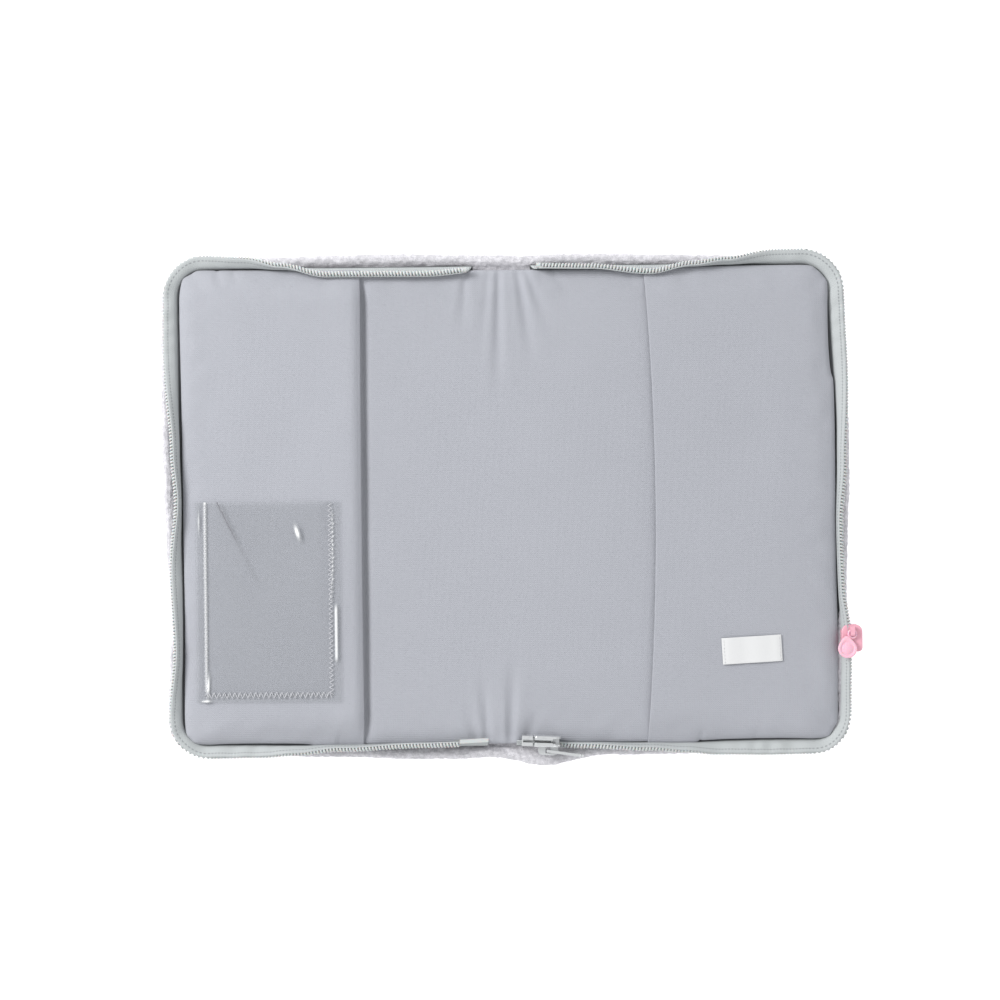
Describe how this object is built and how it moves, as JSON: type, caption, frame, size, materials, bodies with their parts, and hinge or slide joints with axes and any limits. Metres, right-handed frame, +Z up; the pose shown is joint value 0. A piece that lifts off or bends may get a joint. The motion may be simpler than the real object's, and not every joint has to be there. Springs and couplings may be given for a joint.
{
  "type": "changing pad",
  "caption": "Padded zip-around folder of a baby changing kit, opened flat: soft leaves either side of a folding spine, sleeve flaps inside, a clear card window and a separable coil zip.",
  "frame": {"origin": "on the underside, at the middle of the spine, where the opened folder rests on a table", "axes": "+Z up out of the inside face, +X towards the right-hand leaf across the spine, +Y along the spine towards the end where the zip closes"},
  "size_m": [0.3337, 0.2434, 0.0189],
  "materials": {
    "velour": "velour pile",
    "wadding": "polyester wadding",
    "jersey": "heathered jersey",
    "zip_tape": "woven zip tape",
    "zip_coil": "nylon coil",
    "end_film": "clear heat-set film",
    "clear_film": "clear flexible film",
    "thread": "polyester thread",
    "label": "woven satin",
    "white_metal": "gloss white enamel",
    "spring_steel": "bright spring steel",
    "pink_metal": "soft pink coating",
    "pink_soft": "soft-touch plastic"
  },
  "bodies": {
    "right_leaf": {"right_cover": "velour", "right_padding": "wadding", "right_lining": "jersey", "right_flap": "jersey", "right_tape": "zip_tape", "right_coil": "zip_coil", "right_top_stop": "white_metal", "right_end_film": "end_film", "retainer_box": "white_metal", "label_patch": "label", "label_stitches": "thread"},
    "spine": {"spine_cover": "velour", "spine_padding": "wadding", "spine_lining": "jersey"},
    "left_leaf": {"left_cover": "velour", "left_padding": "wadding", "left_lining": "jersey", "left_flap": "jersey", "left_tape": "zip_tape", "left_coil": "zip_coil", "left_top_stop": "white_metal", "left_end_film": "end_film", "insertion_pin": "zip_coil", "card_window": "clear_film", "window_stitches": "thread"},
    "metal_slider": {"metal_slider_body": "white_metal", "metal_slider_crown": "white_metal", "metal_lock_spring": "spring_steel"},
    "metal_pull": {"metal_pull_tab": "white_metal"},
    "pink_slider": {"pink_slider_body": "pink_metal", "pink_slider_crown": "pink_metal"},
    "pink_pull": {"pink_pull_tab": "pink_soft"}
  },
  "joints": [
    {"name": "right_fold", "type": "hinge", "parent": "right_leaf", "child": "spine", "pos_m": [0.013, 0, 0.0009], "axis": [0, 1, 0], "range_deg": [0, 90]},
    {"name": "left_fold", "type": "hinge", "parent": "spine", "child": "left_leaf", "pos_m": [-0.013, 0, 0.0009], "axis": [0, 1, 0], "range_deg": [0, 90]},
    {"name": "metal_slider_run", "type": "slide", "parent": "right_leaf", "child": "metal_slider", "axis": [0.9989, -0.0459, 0], "range_m": [0, 0.078]},
    {"name": "metal_pull_swing", "type": "hinge", "parent": "metal_slider", "child": "metal_pull", "pos_m": [0.01979, -0.11612, 0.0139], "axis": [0, 0, -1], "range_deg": [0, 165]},
    {"name": "pink_slider_run", "type": "slide", "parent": "right_leaf", "child": "pink_slider", "axis": [0, 1, 0], "range_m": [-0.025, 0.154]},
    {"name": "pink_pull_swing", "type": "hinge", "parent": "pink_slider", "child": "pink_pull", "pos_m": [0.16487, -0.0612, 0.01183], "axis": [-1, 0, 0], "range_deg": [0, 170]}
  ]
}
